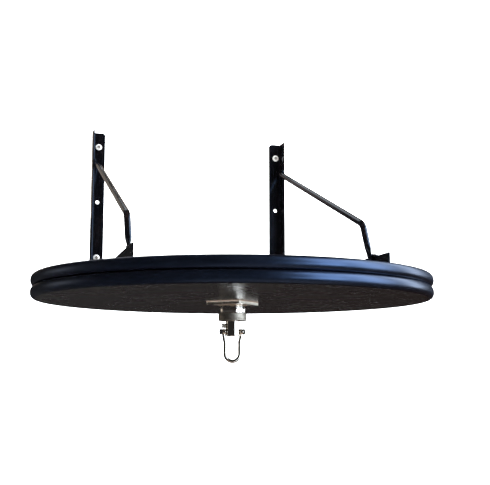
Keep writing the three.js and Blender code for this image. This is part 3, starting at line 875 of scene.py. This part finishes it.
def make_swivel_plate():
    """A square plate turned 45 degrees, with a countersunk hole at each corner."""
    low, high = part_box("swivel_plate")
    corner = 3 * MM
    # the rounded corners cut 2 * corner * (sqrt 2 - 1) off the plate's diagonal
    diagonal = (high.x - low.x) / 2 + corner * (math.sqrt(2) - 1)
    square = [(diagonal, 0), (0, diagonal), (-diagonal, 0), (0, -diagonal)]
    outline = [(CENTRE.x + p.x, CENTRE.y + p.y) for p in fillet(square, corner, 8, closed=True)]
    plate = prism("swivel_plate", outline, low.z, high.z)
    sink = [(0, -MM), (6.1 * MM, -MM), (2.6 * MM, 2.7 * MM), (2.6 * MM, 8 * MM), (0, 8 * MM)]
    cutters = []
    for i in (1, 2, 3, 4):
        x, y, _ = middle_of(f"swivel_plate_screw_{i}")
        cutters.append(revolved("countersink", sink, 48, (x, y, low.z), closed=False))
    finished(softened(combined(plate, cutters), 0.5 * MM, 3), "swivel_plate")


def make_housing():
    """A cup with slightly barrelled sides, open at both ends."""
    low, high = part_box("swivel_housing")
    widest = (high.x - low.x) / 2
    waist = widest - 0.5 * MM
    steps = 16
    barrel = []
    for i in range(steps + 1):
        radius = waist + (widest - waist) * math.sin(math.pi * i / steps)
        barrel.append((radius, low.z + (high.z - low.z) * i / steps))
    edge = 0.5 * MM
    radii = [0.2 * MM, edge, *[0] * (steps - 1), edge, 0.2 * MM]
    turned_piece("swivel_housing", [(CAVITY, low.z), *barrel, (CAVITY, high.z)], radii)


def make_retaining_ring():
    """The ring that closes the housing, grooved outside, with a ledge for the lower race."""
    low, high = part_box("swivel_retaining_ring")
    outer = (high.x - low.x) / 2
    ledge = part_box("lower_bearing_race")[0].z - RACE_GAP
    groove, depth = low.z + 3.2 * MM, 0.35 * MM
    profile = [
        (RING_BORE, low.z), (outer, low.z),
        (outer, groove), (outer - depth, groove + depth), (outer, groove + 2 * depth),
        (outer, high.z), (CAVITY, high.z), (CAVITY, ledge), (RING_BORE, ledge),
    ]
    chamfer = 0.8 * MM
    radii = [0.4 * MM, chamfer, 0, 0, 0, chamfer, 0.2 * MM, 0.1 * MM, 0.2 * MM]
    turned_piece("swivel_retaining_ring", profile, radii)


def ball_places():
    """Each ball's node, centre and radius."""
    for i in range(1, BALLS + 1):
        low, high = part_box(f"bearing_ball_{i}")
        yield f"bearing_ball_{i}", (low + high) / 2, (high.z - low.z) / 2


def make_race(node, faces_up):
    """A flat ring with a shallow round track for the balls in one face."""
    _, first, _ = next(ball_places())
    pitch = (first - CENTRE).xy.length
    low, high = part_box(node)
    outer = (high.x - low.x) / 2
    back, working = (low.z, high.z) if faces_up else (high.z, low.z)
    half, depth = 1.2 * MM, (0.25 if faces_up else -0.25) * MM
    track = [(pitch + half * math.cos(a), working - depth * math.sin(a))
             for a in (math.pi * i / 8 for i in range(9))]
    edge = 0.1 * MM
    profile = [(RACE_BORE, back), (outer, back), (outer, working), *track, (RACE_BORE, working)]
    turned_piece(node, profile, [edge, edge, edge, *[0] * len(track), edge], 96)


def make_cage():
    """A ring with a round pocket for each ball."""
    low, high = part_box("ball_cage")
    corners = [(RACE_BORE, low.z), (CAGE_RADIUS, low.z), (CAGE_RADIUS, high.z), (RACE_BORE, high.z)]
    cage = revolved("ball_cage", fillet(corners, 0.15 * MM, 3, closed=True), 96, CENTRE)
    reach = Vector((0, 0, 0.003))
    pockets = [bar("pocket", radius + BALL_GAP, at - reach, at + reach, 32)
               for _, at, radius in ball_places()]
    finished(softened(combined(cage, pockets), 0.08 * MM, 2, 50), "ball_cage")


def make_balls():
    for node, at, radius in ball_places():
        bm = bmesh.new()
        bmesh.ops.create_icosphere(bm, subdivisions=4, radius=radius, matrix=Matrix.Translation(at))
        finished(mesh_object(node, bm), node, 80)


def make_spindle():
    """A shaft with a wide head that rests on the upper race, bored for the pin and the lock screw."""
    low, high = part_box("spindle")
    shaft, head = SPINDLE_RADIUS, (high.x - low.x) / 2
    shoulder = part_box("upper_bearing_race")[1].z + RACE_GAP
    corners = [(0, low.z), (shaft, low.z), (shaft, shoulder), (head, shoulder), (head, high.z), (0, high.z)]
    outline = fillet(corners, [0, 1.0 * MM, 0.3 * MM, 0.4 * MM, 0.6 * MM, 0], 5)
    piece = revolved("spindle", outline, FINE, CENTRE, closed=False)
    pin_z = middle_of("shackle_pin")[2]
    lock_z = middle_of("spindle_lock_screw")[2]
    cutters = [
        bar("pin_bore", PIN_BORE, (-0.02, CENTRE.y, pin_z), (0.02, CENTRE.y, pin_z)),
        bar("lock_bore", LOCK_BORE, (-0.02, CENTRE.y, lock_z), (-0.002, CENTRE.y, lock_z)),
    ]
    finished(softened(combined(piece, cutters), 0.3 * MM, 3, 50), "spindle")


ALONG_X = Matrix.Rotation(math.pi / 2, 4, "Y")  # turns +Z to +X


def make_lock_screw():
    """A knurled head with a groove round it and a slot across its end, and a plain shank."""
    low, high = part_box("spindle_lock_screw")
    radius = (high.z - low.z) / 2
    length = 6 * MM
    knurls, per_knurl, knurl_depth = 24, 6, 0.18 * MM
    # (share of the length, share of the radius); only full-radius stations are knurled
    stations = [
        (0.0, 0.86), (0.06, 0.97), (0.10, 1), (0.40, 1), (0.44, 0.82),
        (0.56, 0.82), (0.60, 1), (0.90, 1), (0.94, 0.97), (1.0, 0.88),
    ]
    bm = bmesh.new()
    rings = []
    for t, size in stations:
        ring = []
        for j, (x, y) in enumerate(polygon(1, knurls * per_knurl)):
            ridge = 0.5 + 0.5 * math.cos(2 * math.pi * j / per_knurl)
            r = radius * size - (knurl_depth * (1 - ridge) if size == 1 else 0)
            ring.append(bm.verts.new((r * x, r * y, t * length)))
        rings.append(ring)
    capped_tube(bm, rings)
    head = mesh_object("lock_screw", bm)
    wide, far = 0.5 * MM, 5 * MM
    slot = [(-wide, -far), (wide, -far), (wide, far), (-wide, far)]
    combined(head, [prism("slot", slot, -MM, 1.1 * MM)])
    shank = bar("shank", 2 * MM, (0, 0, length - MM), (0, 0, high.x - low.x), 32)
    combined(head, [shank], "UNION")
    place = Matrix.Translation((low.x, CENTRE.y, (low.z + high.z) / 2))
    head.data.transform(place @ ALONG_X)
    finished(head, "spindle_lock_screw", 40)


make_swivel_plate()
make_housing()
make_retaining_ring()
make_race("lower_bearing_race", faces_up=True)
make_race("upper_bearing_race", faces_up=False)
make_cage()
make_balls()
make_spindle()
make_lock_screw()

# ---- Shackle -----------------------------------------------------------------------------------

SHACKLE_ROD = 2.9 * MM  # radius
SHACKLE_LEG = 11.5 * MM  # from the middle to a leg's axis
EYE_RADIUS = 4.5 * MM


def make_shackle():
    """A forged bow: one rod bent to a U, with its flattened eyes melted into the legs."""
    low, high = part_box("shackle")
    pin_z = high.z - EYE_RADIUS
    eye = high.x - SHACKLE_ROD
    bow_z = low.z + SHACKLE_ROD + SHACKLE_LEG
    leg = [(eye, pin_z - 2 * MM), (eye, pin_z - 6 * MM), (12.9 * MM, pin_z - 10.7 * MM),
           (SHACKLE_LEG, pin_z - 16 * MM), (SHACKLE_LEG, bow_z + MM)]
    steps = 28
    right = [Vector((x, CENTRE.y, z)) for x, z in fillet(leg, 9 * MM, 6)]
    bow = [Vector((SHACKLE_LEG * math.cos(a), CENTRE.y, bow_z - SHACKLE_LEG * math.sin(a)))
           for a in (math.pi * i / steps for i in range(steps + 1))]
    left = [Vector((-p.x, p.y, p.z)) for p in reversed(right)]
    path = right + bow + left
    rod = swept("shackle", path, Vector((0, 1, 0)), lambda i: polygon(SHACKLE_ROD, 32))
    wide = SHACKLE_ROD
    corners = [(0, -wide), (EYE_RADIUS, -wide), (EYE_RADIUS, wide), (0, wide)]
    disc = fillet(corners, [0, 1.2 * MM, 1.2 * MM, 0], 5)
    eyes = []
    for sign in (1, -1):
        boss = revolved("eye", disc, 64, closed=False)
        boss.data.transform(Matrix.Translation((sign * eye, CENTRE.y, pin_z)) @ ALONG_X)
        eyes.append(boss)
    combined(rod, eyes, "UNION")
    remeshed(rod, 0.3 * MM, 5)
    bore = bar("bore", PIN_BORE, (-0.03, CENTRE.y, pin_z), (0.03, CENTRE.y, pin_z))
    finished(combined(rod, [bore]), "shackle", 50)


def on_pin_axis():
    """Turns +Z to +X and moves it to the pin's axis."""
    return Matrix.Translation((0, CENTRE.y, middle_of("shackle_pin")[2])) @ ALONG_X


def make_pin():
    """A bolt with a hexagonal head, threaded where the nut goes."""
    low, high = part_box("shackle_pin")
    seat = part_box("shackle")[1].x + 0.3 * MM
    head = chamfered_hex(seat, high.x)
    softened(head, 0.2 * MM, 2, 40)
    shank = bar("shank", 2.45 * MM, (0, 0, -seat + 4 * MM), (0, 0, seat + 0.4 * MM))
    inside = 4.1 * MM  # how far the thread starts inside the nut's seat, just under the shank's end
    thread = threaded(2.05 * MM, 2.5 * MM, 0.8 * MM, -low.x - seat + inside, sides=32)
    thread.data.transform(Matrix.Translation((0, 0, -seat + inside)))
    combined(head, [shank, thread], "UNION")
    head.data.transform(on_pin_axis())
    finished(head, "shackle_pin", 40)


def make_nut():
    low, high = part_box("shackle_nut")
    nut = chamfered_hex(low.x, high.x, both_ends=True)
    combined(nut, [bar("bore", 2.7 * MM, (0, 0, low.x - MM), (0, 0, high.x + MM))])
    softened(nut, 0.2 * MM, 2, 40)
    nut.data.transform(on_pin_axis() @ Matrix.Rotation(0.2, 4, "Z"))
    finished(nut, "shackle_nut")


make_shackle()
make_pin()
make_nut()

# ---- Studio ------------------------------------------------------------------------------------

FLOOR_Z = -2.1  # the board hangs at about head height
COVE_RADIUS = 7.0
COVE_TOP = 6.0


def make_backdrop():
    """One pale surface all round: floor, cove, wall and ceiling."""
    bend = 2.5
    corners = [(0, FLOOR_Z), (COVE_RADIUS, FLOOR_Z), (COVE_RADIUS, COVE_TOP), (0, COVE_TOP)]
    outline = fillet(corners, [0, bend, bend, 0], 12)
    backdrop = revolved("backdrop", outline, 96, closed=False)
    backdrop.data.shade_smooth()
    g = Graph("pale_backdrop")
    g.set(base=(0.85, 0.85, 0.85, 1), roughness=0.9)
    g.set(emission_color=(1, 1, 1, 1), emission_strength=0.9)
    backdrop.data.materials.append(g.material)
    backdrop.visible_glossy = False


def softbox(name, azimuth, elevation, distance, width, height, colour, radiance):
    """A soft area light aimed at the board and hidden from the camera.

    Azimuth and elevation are in degrees from the board's centre: azimuth 0 is -Y and 90 is +X.
    """
    data = bpy.data.lights.new(name, "AREA")
    data.shape = "RECTANGLE"
    data.size, data.size_y = width, height
    data.color = colour
    data.energy = radiance * math.pi * width * height
    light = bpy.data.objects.new(name, data)
    a, e = math.radians(azimuth), math.radians(elevation)
    out = Vector((math.sin(a) * math.cos(e), -math.cos(a) * math.cos(e), math.sin(e)))
    light.location = CENTRE + out * distance
    light.rotation_mode = "QUATERNION"
    light.rotation_quaternion = out.to_track_quat("Z", "Y")
    light.visible_camera = False
    bpy.context.scene.collection.objects.link(light)


def make_world():
    """Dim surroundings for reflections: grey towards -X, dark brown towards +X, dimmer higher up."""
    world = bpy.data.worlds.new("studio")
    bpy.context.scene.world = world
    world.use_nodes = True
    nodes, links = world.node_tree.nodes, world.node_tree.links
    background = nodes["Background"]

    def mapped(value, low, high, start=0.0, end=1.0):
        node = nodes.new("ShaderNodeMapRange")
        numbers = {"From Min": low, "From Max": high, "To Min": start, "To Max": end}
        for socket, number in numbers.items():
            node.inputs[socket].default_value = number
        links.new(value, node.inputs["Value"])
        return node.outputs["Result"]

    split = nodes.new("ShaderNodeSeparateXYZ")
    links.new(nodes.new("ShaderNodeTexCoord").outputs["Generated"], split.inputs[0])
    colours = nodes.new("ShaderNodeValToRGB")
    colours.color_ramp.elements[0].color = (0.058, 0.058, 0.060, 1)
    colours.color_ramp.elements[1].color = (0.034, 0.021, 0.018, 1)
    links.new(mapped(split.outputs["X"], -0.2, 0.5), colours.inputs[0])
    links.new(colours.outputs["Color"], background.inputs["Color"])
    links.new(mapped(split.outputs["Z"], -0.17, -0.03, 1.1, 0.4), background.inputs["Strength"])


COOL = (0.76, 0.87, 1.0)
# The tall boxes on the right stripe the chrome and light the right-hand flanges and the bead. The dim
# ones on the left and below fill in, and wall_glow is what the braces' upper slopes reflect.
LIGHTS = [
    # name, azimuth, elevation, distance, width, height, colour, radiance
    ("front_right", 38, 17, 4.0, 1.3, 4.6, COOL, 8.0),
    ("front_low", 31, -9, 4.0, 2.0, 1.0, COOL, 4.0),
    ("right", 65, 17, 4.0, 1.7, 4.6, COOL, 8.0),
    ("side", 100, 22, 4.0, 1.4, 4.2, (0.80, 0.90, 1.0), 5.0),
    ("left", -114, 3, 4.0, 2.0, 2.6, (1.0, 0.90, 0.80), 0.14),
    ("left_strip", -118, 4, 4.0, 1.3, 1.2, (1.0, 0.95, 0.86), 0.65),
    ("floor_glow", 15, -62, 2.6, 3.4, 2.2, (1.0, 0.86, 0.74), 0.45),
    ("wall_glow", 181, 22, 4.0, 2.7, 1.6, (1.0, 0.84, 0.70), 0.32),
    ("behind", 186, 48, 4.0, 2.2, 1.6, (1.0, 1.0, 1.0), 1.0),
]

make_backdrop()
for light in LIGHTS:
    softbox(*light)
make_world()
bpy.context.scene.view_settings.view_transform = "Standard"
